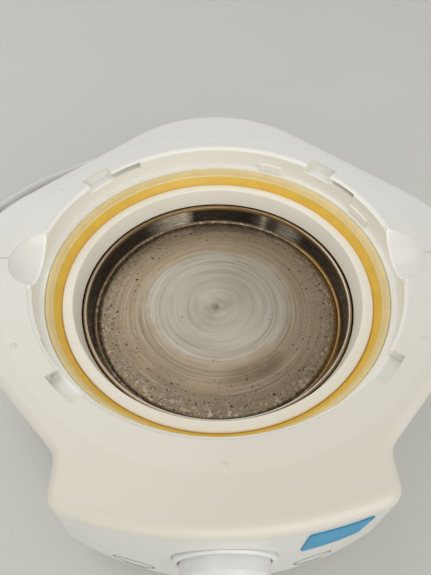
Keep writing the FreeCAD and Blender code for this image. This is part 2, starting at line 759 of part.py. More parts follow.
def control_parts():
    floor = -dial_seat
    inner = bezel_r - bezel_lip
    bezel = turned([(inner, floor), (bezel_r, floor), (bezel_r, bezel_proud - 0.8),
                    (bezel_r - 0.8, bezel_proud), (inner + 0.5, bezel_proud), (inner, bezel_proud - 0.5)])
    save("dial_bezel", on_panel(bezel))
    rim = inner - dial_gap
    low = floor + dial_foot_gap
    under = dial_h - dial_skin
    web = under - cap_flange_t - cap_travel - 1.8
    bore = shaft_r + shaft_gap
    dial = turned([(bore, low), (hub_r, low), (hub_r, web), (rim - dial_skin, web), (rim - dial_skin, low),
                   (rim, low), (rim - 0.8, dial_h - 2.6), (rim - 1.6, dial_h - 0.8), (rim - 3.4, dial_h),
                   (cap_r + cap_gap, dial_h), (cap_r + cap_gap, under), (rim - dial_skin - 0.6, under),
                   (rim - dial_skin - 0.6, web + 1.5), (bore, web + 1.5)])
    pointer = block(-pointer_w / 2, pointer_w / 2, cap_r + pointer_inset, rim - pointer_inset,
                    dial_h - pointer_d, dial_h + 1.0)
    save("dial", on_panel(dial.cut(pointer)))
    cap = turned([(0, under - cap_flange_t), (cap_r + cap_flange, under - cap_flange_t),
                  (cap_r + cap_flange, under - seat_gap), (cap_r, under - seat_gap), (cap_r, dial_h + 0.3),
                  (cap_r - 0.7, dial_h + 1.0), (0, dial_h + 1.0)])
    save("start_button", on_panel(cap))
    shaft = Part.makeCylinder(shaft_r, shaft_len, V(0, 0, web + 1.4 - shaft_len), up)
    save("selector_shaft", on_panel(shaft))
    half = encoder_side / 2
    case = block(-half, half, -half, half, -board_gap, -board_gap + encoder_t)
    neck_l = board_gap - encoder_t + 1 + floor
    neck = Part.makeCylinder(encoder_neck_r, neck_l, V(0, 0, -board_gap + encoder_t - 1), up)
    case = case.fuse(neck).cut(Part.makeCylinder(bore, 2 * shaft_len, V(0, 0, web + 1.3 - shaft_len), up))
    save("selector_switch", on_panel(case.removeSplitter()))
    board = block(-board_w / 2, board_w / 2, -board_h / 2, board_h / 2, -board_gap - board_t, -board_gap)
    holes = []
    screws = []
    for u in (-board_hole_x, board_hole_x):
        for v in (-board_hole_y, board_hole_y):
            back = -board_gap - board_t
            holes.append(Part.makeCylinder(board_screw_r + hole_gap, board_gap, V(u, v, back - 1), up))
            head_foot = V(u, v, back - board_screw_head_h)
            head = Part.makeCylinder(board_screw_head_r, board_screw_head_h, head_foot, up)
            shank = Part.makeCylinder(board_screw_r, board_t + board_gap / 4, V(u, v, back), up)
            screws.append(on_panel(head.fuse(shank).removeSplitter()))
    save("control_board", on_panel(board.cut(holes)))
    save("board_screws", Part.makeCompound(screws))
    back = -board_gap - board_t
    relay = block(relay_x, relay_x + relay_w, -relay_h / 2, relay_h / 2, back - relay_t, back)
    save("relay", on_panel(relay))
    coil_core = block(core_x, core_x + core_w, -core_h / 2, core_h / 2, back - core_t, back)
    wound_x = core_x + (core_w - winding_w) / 2
    winding = block(wound_x, wound_x + winding_w, -winding_h / 2, winding_h / 2,
                    back - core_t + winding_lift, back - winding_lift)
    save("power_transformer", on_panel(coil_core.fuse(winding).removeSplitter()))


def badge_plate():
    x0 = badge_x - badge_w / 2
    x1 = badge_x + badge_w / 2
    z0 = badge_z - badge_h / 2
    z1 = badge_z + badge_h / 2
    slab = block(x0, x1, 2 * nose_front_split, 0, z0, z1)
    uprights = [e for e in slab.Edges if e.BoundBox.YLength > side_reach]
    slab = slab.makeFillet(badge_corner, uprights)
    proud = body_loft([(split_z, -badge_t), (deck_z, -badge_t)])
    return slab.common(proud).cut(body_loft([(split_z, -seat_gap), (deck_z, -seat_gap)]))


# Mains lead inside the base

def inlet_parts(right, left):
    back = V(0, 1, 0)
    inner_end = gland_y - cord_block_t
    nut = Part.makeCylinder(gland_nut_r, 3.0, V(0, inner_end - 3.0, cord_z), back)
    neck = Part.makeCylinder(gland_hole_r, cord_block_t + 1.0, V(0, inner_end - 0.5, cord_z), back)
    flange = Part.makeCylinder(gland_flange_r, gland_flange_t, V(0, gland_y, cord_z), back)
    boot_start = V(0, gland_y + gland_flange_t, cord_z)
    taper = Part.makeCone(gland_hole_r + 0.9, boot_tip_r, boot_len, boot_start, back)
    relief = nut.fuse([neck, flange, taper])
    ribs = []
    for i in range(boot_rib_count):
        y = gland_y + gland_flange_t + (i + 1) * boot_rib_step
        ring = Part.makeCylinder(gland_hole_r + 3, 1.6, V(0, y, cord_z), back)
        ribs.append(ring.cut(Part.makeCylinder(boot_tip_r - 0.3, 1.6, V(0, y, cord_z), back)))
    save("strain_relief", relief.cut(ribs).removeSplitter())
    block_back = block_y + block_l / 2
    length = inner_end - 3.0 - block_back
    save("inner_cord", Part.makeCylinder(cord_d / 2, length, V(0, block_back, cord_z), back))
    bar = block(-clamp_post_x - 4.5, clamp_post_x + 4.5, clamp_bar_y - 4, clamp_bar_y + 4,
                clamp_bar_z, clamp_bar_z + clamp_bar_t)
    screws = []
    holes = []
    for s in (-1, 1):
        x = s * clamp_post_x
        holes.append(post(board_screw_r + hole_gap, 0, deck_z, x, clamp_bar_y))
        top = clamp_bar_z + clamp_bar_t
        head = post(board_screw_head_r, top, top + board_screw_head_h, x, clamp_bar_y)
        shank = post(board_screw_r, foot_h + tray_floor + 2.5, top, x, clamp_bar_y)
        screws.append(head.fuse(shank).removeSplitter())
    save("cord_clamp", bar.cut(holes))
    save("cord_clamp_screws", Part.makeCompound(screws))
    low = foot_h + tray_floor
    body = block(-block_w / 2, block_w / 2, block_y - block_l / 2, block_back, low, low + block_h_term)
    wells = []
    heads = []
    for i in (-1, 0, 1):
        wells.append(post(2.8, low + block_h_term - 7, low + block_h_term + 1, i * 9.5, block_y))
        heads.append(post(2.5, low + block_h_term - 7, low + block_h_term - 2.5, i * 9.5, block_y))
    save("terminal_block", body.cut(wells))
    save("terminal_screws", Part.makeCompound(heads))
    front = block_y - block_l / 2
    wires = []
    for end in (right, left):
        s = 1 if end.x > 0 else -1
        foot = element_leg_z - pin_len
        route = [V(end.x, end.y, foot), V(end.x, end.y, foot - 8), V(s * 8.5, end.y + 12, 10.5),
                 V(s * 9.5, front - 10, cord_z), V(s * 9.5, front, cord_z)]
        wires.append(swept(route_wire(route, ""), lead_r))
    save("element_leads", Part.makeCompound(wires))


# Mains lead outside the base

def coil_state(turn):
    # radius, height and angle after so many turns of the coil
    inner = coil_r - coil_pitch * coil_turns
    if turn <= coil_turns:
        return coil_r - coil_pitch * turn, 0.0
    if turn <= coil_turns + 0.5:
        share = (turn - coil_turns) / 0.5
        return inner, coil_layer * share
    return inner + coil_pitch * (turn - coil_turns - 0.5), coil_layer


def coil_point(turn):
    radius, rise = coil_state(turn)
    p = polar(radius, coil_start_deg + 360 * turn, coil_z + rise)
    return p + V(coil_x, coil_y, 0)


def coil_wire():
    total = 2 * coil_turns + 0.5
    steps = int(round(total * 4))
    small = 0.02
    edges = []
    nodes = []
    for i in range(steps + 1):
        turn = total * i / steps
        heading = polar(1.0, coil_start_deg + 360 * turn + 90)
        if 0 < i < steps:
            heading = coil_point(turn + small) - coil_point(turn - small)
            heading.normalize()
        nodes.append((coil_point(turn), heading))
    for (p1, t1), (p2, t2) in zip(nodes, nodes[1:]):
        edges += biarc(p1, t1, p2, t2)
    return Part.Wire(edges), nodes[0], nodes[-1]


def least_gap(wire, skip):
    points = wire.discretize(Distance=2.0)
    least = 1e9
    for i, a in enumerate(points):
        for b in points[i + skip:]:
            least = min(least, (a - b).Length)
    return least - cord_d


def cord_parts():
    coil, first, last = coil_wire()
    save("cord_coil", swept(coil, cord_d / 2, "cord_coil"))
    print("cord_coil least gap to itself", round(least_gap(coil, 40), 2))
    start = V(0, gland_y + gland_flange_t + boot_len, cord_z)
    run_in = first[0] - first[1] * coil_run_in
    route = [start] + [V(*bend) for bend in cord_bends] + [run_in, first[0]]
    save("mains_cord", swept(route_wire(route, "mains_cord"), cord_d / 2, "mains_cord"))
    away = last[1]
    drop = plug_z - coil_z - coil_layer
    lead = [last[0] + away * out + V(0, 0, drop * share) for out, share in plug_lead_steps]
    save("plug_lead", swept(route_wire(lead, "plug_lead"), cord_d / 2, "plug_lead"))
    turn_to = FreeCAD.Placement(lead[-1], FreeCAD.Rotation(V(1, 0, 0), away))

    def placed(shape):
        moved = shape.copy()
        moved.Placement = turn_to.multiply(moved.Placement)
        return moved

    plan = [V(0, -plug_tail_w / 2, 0), V(plug_l * 0.45, -plug_w / 2, 0), V(plug_l * 0.8, -plug_w / 2, 0),
            V(plug_l, -plug_w * 0.36, 0), V(plug_l, plug_w * 0.36, 0), V(plug_l * 0.8, plug_w / 2, 0),
            V(plug_l * 0.45, plug_w / 2, 0), V(0, plug_tail_w / 2, 0)]
    slab = Part.Face(Part.makePolygon(plan + plan[:1])).extrude(V(0, 0, plug_t))
    slab.translate(V(0, 0, -plug_t / 2))
    slab = slab.makeFillet(plug_edge_r, slab.Edges)
    save("plug_body", placed(slab))
    pins = []
    for s in (-1, 1):
        pin = Part.makeCylinder(plug_pin_r, plug_pin_l, V(plug_l, s * plug_pin_gap / 2, 0), V(1, 0, 0))
        tip = [e for e in pin.Edges if abs(e.CenterOfMass.x - plug_l - plug_pin_l) < 0.01]
        pins.append(placed(pin.makeFillet(plug_pin_r * 0.7, tip)))
    save("plug_pins", Part.makeCompound(pins))
    save("cord_tie", cord_tie())


def cord_tie():
    # band round the two strands that lie on each other at this angle
    turn = (tie_deg - coil_start_deg) / 360 % 1.0
    radius = coil_state(turn)[0]

    def stadium(r, width):
        low = Part.makeCylinder(r, width, V(radius, -width / 2, coil_z), V(0, 1, 0))
        high = Part.makeCylinder(r, width, V(radius, -width / 2, coil_z + coil_layer), V(0, 1, 0))
        middle = block(radius - r, radius + r, -width / 2, width / 2, coil_z, coil_z + coil_layer)
        return low.fuse([high, middle]).removeSplitter()

    inner_r = cord_d / 2 + tie_gap
    band = stadium(inner_r + tie_t, tie_w).cut(stadium(inner_r, tie_w + 2))
    band.rotate(V(0, 0, 0), up, tie_deg)
    band.translate(V(coil_x, coil_y, 0))
    return band


save("upper_housing", upper_housing())
save("base_tray", base_tray())
save("base_screws", base_screws())
save("feet", feet())
save("heating_dish", heating_dish())
save("dish_gasket", dish_gasket())
save("dish_collar", dish_collar())
save("lid_seal", lid_seal())
legs = heating_parts()
save("dish_clamps", dish_clamps())
save("heat_shield", heat_shield(legs))
save("clamp_screws", clamp_screws())
control_parts()
save("badge_plate", badge_plate())
inlet_parts(*legs)
cord_parts()

# The origin stands under the middle of the object, between its back lobe and the dial
front_reach = shapes["dial"].optimalBoundingBox(False).YMin
middle_y = (back_reach + front_reach) / 2
dial_from_origin = dial_point - V(0, middle_y, 0)
print("dish axis at y", round(-middle_y, 3), "dial point", dial_from_origin, "panel out", panel_out)

os.makedirs("parts", exist_ok=True)
for name, shape in shapes.items():
    moved = shape.copy()
    moved.translate(V(0, -middle_y, 0))
    moved.exportStep("parts/" + name + ".step")
    state = "ok" if moved.isValid() else "BAD"
    print(name, len(moved.Solids), "solids", round(moved.Volume / 1000, 2), "cm3", state)
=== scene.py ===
import bpy
import bmesh
import json
import math
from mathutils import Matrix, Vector
from mathutils.bvhtree import BVHTree


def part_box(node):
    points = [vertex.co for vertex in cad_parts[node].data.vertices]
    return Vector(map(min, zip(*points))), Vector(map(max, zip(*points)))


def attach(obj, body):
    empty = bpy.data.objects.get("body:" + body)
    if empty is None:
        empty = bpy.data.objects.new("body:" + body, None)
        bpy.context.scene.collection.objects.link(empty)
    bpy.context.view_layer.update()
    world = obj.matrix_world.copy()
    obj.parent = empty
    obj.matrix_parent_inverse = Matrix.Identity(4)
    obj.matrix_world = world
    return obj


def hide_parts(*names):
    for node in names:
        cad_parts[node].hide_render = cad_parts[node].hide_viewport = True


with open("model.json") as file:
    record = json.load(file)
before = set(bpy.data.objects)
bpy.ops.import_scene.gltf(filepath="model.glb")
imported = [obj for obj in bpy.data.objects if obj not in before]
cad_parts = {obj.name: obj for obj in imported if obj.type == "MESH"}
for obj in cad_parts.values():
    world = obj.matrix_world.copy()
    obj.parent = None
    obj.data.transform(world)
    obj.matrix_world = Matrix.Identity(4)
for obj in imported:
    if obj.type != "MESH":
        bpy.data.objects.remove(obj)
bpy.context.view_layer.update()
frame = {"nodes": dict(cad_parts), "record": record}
nodes = frame["nodes"]
mm = 0.001
dishLow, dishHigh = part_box("heating_dish")
axisY = (dishLow.y + dishHigh.y) / 2          # the dish axis stands a little behind the origin
rimZ = dishHigh.z
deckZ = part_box("upper_housing")[1].z
print("frame loaded, dish rim at", round(rimZ, 4))


# small helpers for pieces
def addPiece(name, data):
    piece = bpy.data.objects.new(name, data)
    bpy.context.scene.collection.objects.link(piece)
    return piece


def addMesh(name, work):
    mesh = bpy.data.meshes.new(name)
    work.to_mesh(mesh)
    work.free()
    return addPiece(name, mesh)


# small helpers for node materials
def newFinish(name):
    finish = bpy.data.materials.new(name)
    finish.use_nodes = True
    return finish, finish.node_tree, finish.node_tree.nodes["Principled BSDF"]


def feed(tree, node, inputs):
    # each input takes a link, or a plain value of its own
    for key, value in inputs.items():
        socket = node.inputs[key]
        if isinstance(value, bpy.types.NodeSocket):
            tree.links.new(value, socket)
        elif socket.type == "RGBA":
            socket.default_value = (*value, 1.0)
        else:
            socket.default_value = value


def addNode(tree, kind, inputs, **settings):
    node = tree.nodes.new(kind)
    for key, value in settings.items():
        setattr(node, key, value)
    feed(tree, node, inputs)
    return node


def mathNode(tree, operation, *values):
    return addNode(tree, "ShaderNodeMath", dict(enumerate(values)), operation=operation).outputs[0]


def timesNode(tree, first, second):
    return mathNode(tree, "MULTIPLY", first, second)


def scaleShift(tree, source, scale, shift):
    return mathNode(tree, "ADD", timesNode(tree, source, scale), shift)


def squaresOf(tree, first, second):
    return mathNode(tree, "ADD", timesNode(tree, first, first), timesNode(tree, second, second))


def reachOf(tree, first, second):
    return mathNode(tree, "SQRT", squaresOf(tree, first, second))


def stretchOf(tree, source, low, high):
    inputs = {"Value": source, "From Min": low, "From Max": high}
    return addNode(tree, "ShaderNodeMapRange", inputs).outputs["Result"]


def noiseNode(tree, vector, scale, detail=3.0, roughness=0.55):
    inputs = {"Vector": vector, "Scale": scale, "Detail": detail, "Roughness": roughness}
    return addNode(tree, "ShaderNodeTexNoise", inputs).outputs["Fac"]


def rampNode(tree, source, stops):
    node = addNode(tree, "ShaderNodeValToRGB", {"Fac": source})
    while len(node.color_ramp.elements) < len(stops):
        node.color_ramp.elements.new(1.0)
    for element, (at, colour) in zip(node.color_ramp.elements, stops):
        element.position = at
        element.color = (*colour, 1.0)
    return node.outputs["Color"]


def grey(value):
    return (value, value, value)


def maskNode(tree, source, stops):
    return rampNode(tree, source, [(at, grey(value)) for at, value in stops])


def zoneNode(tree, source, stops, look):
    return rampNode(tree, source, [(at, look[colour]) for at, colour in stops])


def noiseTint(tree, noise, dark, light, span=(0.3, 0.7)):
    # span is the stretch of the noise that the tint runs over
    return rampNode(tree, noise, [(span[0], dark), (span[1], light)])


def mixColour(tree, blend, amount, under, over):
    inputs = {0: amount, 6: under, 7: over}          # 6 and 7 are the node's colour sockets
    return addNode(tree, "ShaderNodeMix", inputs, data_type="RGBA", blend_type=blend).outputs[2]


def coverTint(tree, tint, mask, cover, colour):
    return mixColour(tree, "MIX", timesNode(tree, mask, cover), tint, colour)


def bumpNode(tree, height, strength, distance):
    inputs = {"Height": height, "Strength": strength, "Distance": distance}
    return addNode(tree, "ShaderNodeBump", inputs).outputs["Normal"]


def placeOf(tree):
    return addNode(tree, "ShaderNodeTexCoord", {}).outputs["Object"]


def aboutAxis(tree):
    inputs = {"Vector": placeOf(tree), "Location": (0.0, -axisY, 0.0)}
    return addNode(tree, "ShaderNodeMapping", inputs).outputs["Vector"]


def axesOf(tree, vector):
    return addNode(tree, "ShaderNodeSeparateXYZ", {"Vector": vector}).outputs


# moulded plastic: cloudy tint, fine grain, a few soft handling marks
creamLook = {"dark": (0.725, 0.715, 0.67), "light": (0.755, 0.745, 0.70),
             "cloudScale": 9.0, "cloudDetail": 4.0,
             "dust": (0.7, 0.7, 0.68), "dustShare": 0.05, "dustSpan": (0.35, 0.6),
             "grainScale": 1400.0, "grainDetail": 2.0, "grain": 0.02, "grainDeep": 0.2 * mm,
             "wearScale": 38.0, "wearDetail": 5.0, "wearSpan": (0.3, 0.75), "wear": 0.05, "rough": 0.285,
             "ior": 1.5, "gloss": 0.5, "coat": 0.3, "coatRough": 0.12}
# the warm colour is a painted reflection on the front deck, the well colour painted light in the well and
# the lock pockets
housingLook = dict(creamLook, warm=(0.715, 0.66, 0.555), warmBackY=40.0 * mm, warmFrontY=-120.0 * mm,
                   warmLowZ=93.0 * mm, warmHighZ=104.7 * mm, well=(0.95, 0.935, 0.86), wellR=99.0 * mm,
                   pocketR=112.0 * mm, pocketLightShare=0.55, pocketTop=0.3 * mm, pocketDeep=1.5 * mm,
                   fade=1.5 * mm)
trayLook = dict(creamLook, rough=0.38, coat=0.0, grain=0.05)
collarLook = dict(creamLook, dark=(0.91, 0.87, 0.755), light=(0.95, 0.915, 0.81), rough=0.33, coat=0.1)
dialLook = dict(creamLook, dark=(0.76, 0.76, 0.73), light=(0.80, 0.80, 0.775), rough=0.20)
cordLook = dict(creamLook, dark=(0.66, 0.66, 0.63), light=(0.71, 0.71, 0.68), rough=0.42, coat=0.0,
                grain=0.2)
plugLook = dict(cordLook, rough=0.36)
footLook = dict(creamLook, dark=(0.09, 0.09, 0.09), light=(0.13, 0.13, 0.13), rough=0.6, coat=0.0)
boardLook = dict(creamLook, dark=(0.01, 0.07, 0.025), light=(0.015, 0.10, 0.04), rough=0.35)
blackLook = dict(creamLook, dark=(0.012, 0.012, 0.013), light=(0.02, 0.02, 0.022), rough=0.4, coat=0.0)
ceramicLook = dict(creamLook, dark=(0.66, 0.65, 0.60), light=(0.72, 0.71, 0.67), rough=0.3)
wireLook = dict(creamLook, dark=(0.25, 0.02, 0.015), light=(0.33, 0.03, 0.02), rough=0.5, coat=0.0)
greyLook = dict(creamLook, dark=(0.24, 0.24, 0.23), light=(0.30, 0.30, 0.29), rough=0.55, coat=0.0)
badgeLook = dict(creamLook, dark=(0.032, 0.265, 0.47), light=(0.05, 0.335, 0.56), cloudScale=60.0,
                 grainScale=2200.0, grain=0.06, wearScale=90.0, wear=0.12, rough=0.40, coat=0.0, gloss=0.22)


# a painted warm reflection on the deck towards the front, and painted light that makes the well and the
# lock pockets paler
def housingPaintedLight(tree, place, tint, look):
    x, y, z = axesOf(tree, place)
    # painted warm reflection, growing towards the front and the top
    ahead = stretchOf(tree, y, look["warmBackY"], look["warmFrontY"])
    high = stretchOf(tree, z, look["warmLowZ"], look["warmHighZ"])
    tint = mixColour(tree, "MIX", timesNode(tree, ahead, high), tint, look["warm"])
    across = reachOf(tree, x, mathNode(tree, "SUBTRACT", y, axisY))
    # painted light: the well and the lock pockets paler than the deck
    inWell = stretchOf(tree, across, look["wellR"] + look["fade"], look["wellR"])
    nearWell = stretchOf(tree, across, look["pocketR"] + look["fade"], look["pocketR"])
    sunk = stretchOf(tree, z, deckZ - look["pocketTop"], deckZ - look["pocketDeep"])
    inPocket = timesNode(tree, timesNode(tree, sunk, nearWell), look["pocketLightShare"])
    return mixColour(tree, "MIX", mathNode(tree, "MAXIMUM", inWell, inPocket), tint, look["well"])


def mouldedFinish(name, look):
    finish, tree, shader = newFinish(name)
    place = placeOf(tree)
    cloud = noiseNode(tree, place, look["cloudScale"], look["cloudDetail"])
    tint = noiseTint(tree, cloud, look["dark"], look["light"])
    if "warm" in look:
        tint = housingPaintedLight(tree, place, tint, look)
    speck = noiseNode(tree, place, look["grainScale"], look["grainDetail"])
    dust = noiseTint(tree, speck, look["dust"], grey(1.0), look["dustSpan"])
    wear = noiseNode(tree, place, look["wearScale"], look["wearDetail"])
    wear = stretchOf(tree, wear, *look["wearSpan"])
    feed(tree, shader, {
        "Base Color": mixColour(tree, "MULTIPLY", look["dustShare"], tint, dust),
        "Roughness": scaleShift(tree, wear, look["wear"], look["rough"]),
        "Normal": bumpNode(tree, speck, look["grain"], look["grainDeep"]),
        "IOR": look["ior"],
        "Specular IOR Level": look["gloss"],
        "Coat Weight": look["coat"],
        "Coat Roughness": look["coatRough"],
    })
    return finish


# plain sheet metal and screws: faint rolling streaks
sheetLook = {"dark": (0.46, 0.46, 0.45), "light": (0.60, 0.60, 0.59), "span": (0.25, 0.75), "rough": 0.26,
             "roughStreak": 0.2, "streaks": (60.0, 900.0, 900.0), "streakDetail": 4.0}
screwLook = dict(sheetLook, dark=(0.42, 0.42, 0.41), light=(0.56, 0.56, 0.55), rough=0.2)
brassLook = dict(sheetLook, dark=(0.52, 0.36, 0.13), light=(0.66, 0.48, 0.2), rough=0.22)
nickelLook = dict(sheetLook, dark=(0.62, 0.60, 0.57), light=(0.74, 0.72, 0.69), rough=0.12)
sheathLook = dict(sheetLook, dark=(0.10, 0.09, 0.08), light=(0.17, 0.155, 0.14), rough=0.4)
aluminiumLook = dict(sheetLook, dark=(0.55, 0.55, 0.56), light=(0.68, 0.68, 0.69), rough=0.28)


def metalFinish(name, look):
    finish, tree, shader = newFinish(name)
    squeeze = addNode(tree, "ShaderNodeMapping", {"Vector": placeOf(tree), "Scale": look["streaks"]})
    streak = noiseNode(tree, squeeze.outputs["Vector"], 1.0, look["streakDetail"])
    feed(tree, shader, {
        "Base Color": noiseTint(tree, streak, look["dark"], look["light"], look["span"]),
        "Roughness": scaleShift(tree, streak, look["roughStreak"], look["rough"]),
        "Metallic": 1.0,
    })
    return finish


# turned pieces: a profile spun about the dish axis, with its turns as U for the grain
def spin(name, profile, steps, closed):
    work = bmesh.new()
    grain = work.loops.layers.uv.new("turns")
    rings = []
    for r, z in profile:
        count = steps if r > 0.0 else 1          # a point on the axis is one vertex
        turns = [2 * math.pi * i / steps for i in range(count)]
        rings.append([work.verts.new((r * math.cos(a), axisY + r * math.sin(a), z)) for a in turns])
    pairs = list(zip(rings, rings[1:]))
    if closed:
        pairs.append((rings[-1], rings[0]))
    for row, (low, high) in enumerate(pairs):
        for i in range(steps):
            j = (i + 1) % steps
            corners = []
            for ring, k in ((low, i), (low, j), (high, j), (high, i)):
                vert = ring[k % len(ring)]
                if vert not in corners:
                    corners.append(vert)
            if len(corners) < 3:
                continue
            face = work.faces.new(corners)
            face.smooth = True
            for loop in face.loops:
                ring = low if loop.vert in low else high
                ahead = len(ring) > 1 and loop.vert is ring[j]
                turn = (i + 1) / steps if ahead else i / steps
                side = 0.0 if ring is low else 1.0
                loop[grain].uv = (turn, (row + side) / len(pairs))
    bmesh.ops.recalc_face_normals(work, faces=work.faces)
    return addMesh(name, work)


def arc(centreR, centreZ, radius, startDeg, endDeg, rows):
    points = []
    for i in range(rows + 1):
        a = math.radians(startDeg + (endDeg - startDeg) * i / rows)
        points.append((centreR + radius * math.cos(a), centreZ + radius * math.sin(a)))
    return points


def roundProfile(points, radius, steps=4):
    # softens each corner of a closed profile with a short curve
    soft = []
    mostShare = 0.45          # of a side that one corner may take
    for i, here in enumerate(points):
        here = Vector(here)
        before = Vector(points[i - 1]) - here
        after = Vector(points[(i + 1) % len(points)]) - here
        reach = min(radius, before.length * mostShare, after.length * mostShare)
        start = here + before.normalized() * reach
        end = here + after.normalized() * reach
        for s in range(steps + 1):
            t = s / steps
            soft.append(tuple(start.lerp(here, t).lerp(here.lerp(end, t), t)))
    return soft


def dressTurned(piece, node, slotName):
    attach(piece, "base")
    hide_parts(node)
    piece.data.materials.append(finishes[slotName])


# the dish: turned floor with a punched middle, steep wall, rolled bead, hidden flange
dish = {
    "depth": 12.5 * mm, "sheet": 0.8 * mm, "floorR": 75.4 * mm, "rimR": 80.0 * mm, "beadR": 1.3 * mm,
    "flangeR": 88.0 * mm, "flangeDrop": 2.4 * mm, "flangeBend": 0.4 * mm, "bend": 1.5 * mm, "bendDeg": 80.0,
    "punchR": 1.6 * mm, "punchDeep": 0.5 * mm, "punchMid": (0.5, 0.7), "wave": 0.04 * mm, "waveTurn": 2.4,
    "backRise": 2.7 * mm, "backIn": 2.6 * mm,
    "floorRows": 24, "bendRows": 6, "beadRows": 10, "steps": 256,
    # colours of the steel and of what has burnt on to it, with a painted dark reflection for the wall, a
    # painted glint and a painted bead highlight
    "clean": (0.495, 0.45, 0.37), "tan": (0.405, 0.315, 0.21), "brown": (0.34, 0.26, 0.17),
    "edge": (0.25, 0.19, 0.125), "pit": (0.035, 0.024, 0.014), "smudge": (0.15, 0.10, 0.055),
    "ochre": (0.42, 0.25, 0.07), "rust": (0.30, 0.20, 0.095), "scale": (0.58, 0.51, 0.42),
    # the wall colour is a painted dark reflection on the steel
    "darkHair": (0.16, 0.13, 0.10), "paleHair": (0.66, 0.63, 0.56), "wall": (0.019, 0.015, 0.011),
    # a painted window glint, then a painted highlight for the bead
    "paintedGlint": (0.93, 0.91, 0.88), "paintedBeadHighlight": (0.92, 0.88, 0.82),
    # turned lines: scale outwards, scale along the turn, detail
    "hairs": (1650.0, 0.75, 2.0), "rings": (260.0, 0.7, 3.0),
    # noises: scale, detail, roughness
    "blotch": (42.0, 6.0, 0.62), "stains": (150.0, 4.0, 0.65), "flakes": (420.0, 4.0, 0.7),
    # floor zones by share of its radius, which the blotches and the front push about
    "zones": [(0.0, "clean"), (0.56, "clean"), (0.66, "tan"), (0.86, "brown"), (0.98, "edge")],
    "drift": 0.22, "frontStain": 0.20,
    "ringStops": [(0.30, 0.72), (0.66, 1.1)], "ringShare": 0.55,
    "turned": [(0.08, 0.3), (0.40, 0.55), (0.52, 1.0), (0.70, 1.0), (0.9, 0.6)],
    # pits crowd the outer third, a few stray inwards: noise and stops of the coarse and the small ones
    "crowd": [(0.30, 0.0), (0.62, 0.035), (0.76, 0.085), (0.93, 0.12)], "pitCover": 0.9,
    "pits": [((430.0, 2.0, 0.5), [(0.745, 0.0), (0.785, 1.0)]),
             ((900.0, 2.0, 0.5), [(0.755, 0.0), (0.80, 1.0)])],
    # one darker smear in front of the middle
    "smearR": 50.0 * mm, "smearTurn": math.radians(-66), "smearDeep": 6.5 * mm, "smearWide": 0.42,
    "smearSoft": 1.3, "smearSpan": (0.25, 0.6), "smearCover": 0.95,
    # where the stains, the flakes and the ochre side show
    "stainSpan": (0.42, 0.62), "flakeStops": [(0.53, 0.0), (0.60, 1.0)],
    "rightSide": [(0.62, 0.0), (0.85, 1.0)],
    # marks: colour, how far it covers, and the stops of its mask
    "marks": {
        "darkHairs": ("darkHair", 0.52, [(0.575, 0.0), (0.66, 1.0)]),
        "paleHairs": ("paleHair", 0.40, [(0.34, 1.0), (0.42, 0.0)]),
        "middle": ("smudge", 0.55, [(0.008, 1.0), (0.03, 0.5), (0.09, 0.0)]),
        "rustRing": ("rust", 0.6, [(0.86, 0.0), (0.97, 1.0)]),
        "scaleRing": ("scale", 0.85, [(0.82, 0.0), (0.95, 0.8)]),
        "ochreSide": ("ochre", 0.75, [(0.93, 0.0), (0.975, 1.0)]),
        "wallFoot": ("tan", 0.8, [(0.0, 1.0), (0.10, 0.0)]),
        # towards the back: rust stain, and painted shade that dims the painted bead highlight there
        "beadBack": ("rust", 1.0, [(0.06, 0.1), (0.22, 0.45), (0.70, 0.7), (0.86, 1.0)]),
    },
    # wall: a painted dark reflection, streaky, with painted window glints by share of the turn
    "wallHigh": 11.6 * mm, "onWall": [(0.0, 0.0), (0.04, 1.0)],
    "paintedWindowGlints": [(0.610, 0.05), (0.632, 0.75), (0.650, 0.55), (0.658, 0.12), (0.670, 0.2), (0.676, 1.0),
                (0.684, 0.15), (0.70, 0.0), (0.782, 0.0), (0.797, 0.95), (0.825, 0.6), (0.86, 0.04)],
    "streakAlong": 7.0, "streakUp": 1700.0, "streakDetail": 3.0, "streakSpan": (0.36, 0.62),
    "paintedSheenCover": 0.05, "brushed": 0.55,
    # bead: painted dark reflection at its inner edge, a painted highlight inside, rust stain outside and
    # pit colour at its outer edge, by share from its inner to its outer edge
    "onBead": [(0.80, 0.0), (0.83, 1.0)], "beadIn": 2.9 * mm, "beadOut": 0.2 * mm,
    "beadZones": [(0.0, "wall"), (0.14, "wall"), (0.22, "paintedBeadHighlight"), (0.40, "paintedBeadHighlight"), (0.50, "rust"),
                  (0.92, "rust"), (1.0, "pit")],
    "rough": 0.32, "roughBlotch": 0.24, "roughPits": 0.3, "wallPolish": 0.30, "leastRough": 0.13,
    "hairCut": 0.5, "cut": 0.12, "cutDeep": 0.6 * mm, "metallic": 0.86, "anisotropic": 0.5,
}


# what the dish's masks are measured along
def dishPlaces(tree, look):
    place = aboutAxis(tree)
    x, y, z = axesOf(tree, place)
    radius = reachOf(tree, x, y)
    angle = mathNode(tree, "ARCTAN2", y, x)
    return {
        "place": place,
        "z": z,
        "radius": radius,
        "angle": angle,
        "sine": mathNode(tree, "SINE", angle),
        "cosine": mathNode(tree, "COSINE", angle),
        "share": mathNode(tree, "DIVIDE", radius, look["floorR"]),
        "lift": stretchOf(tree, z, rimZ - look["wallHigh"], rimZ),
        "blotch": noiseNode(tree, place, *look["blotch"]),
    }


def turnedNoise(tree, spot, outward, along, detail):
    rows = [timesNode(tree, spot["radius"], outward)]
    rows += [timesNode(tree, spot[side], along) for side in ("cosine", "sine")]
    turn = addNode(tree, "ShaderNodeCombineXYZ", dict(enumerate(rows)))
    return noiseNode(tree, turn.outputs["Vector"], 1.0, detail)


def layMark(tree, look, name, tint, source, within=1.0):
    colour, cover, stops = look["marks"][name]
    mask = timesNode(tree, maskNode(tree, source, stops), within)
    return coverTint(tree, tint, mask, cover, look[colour])


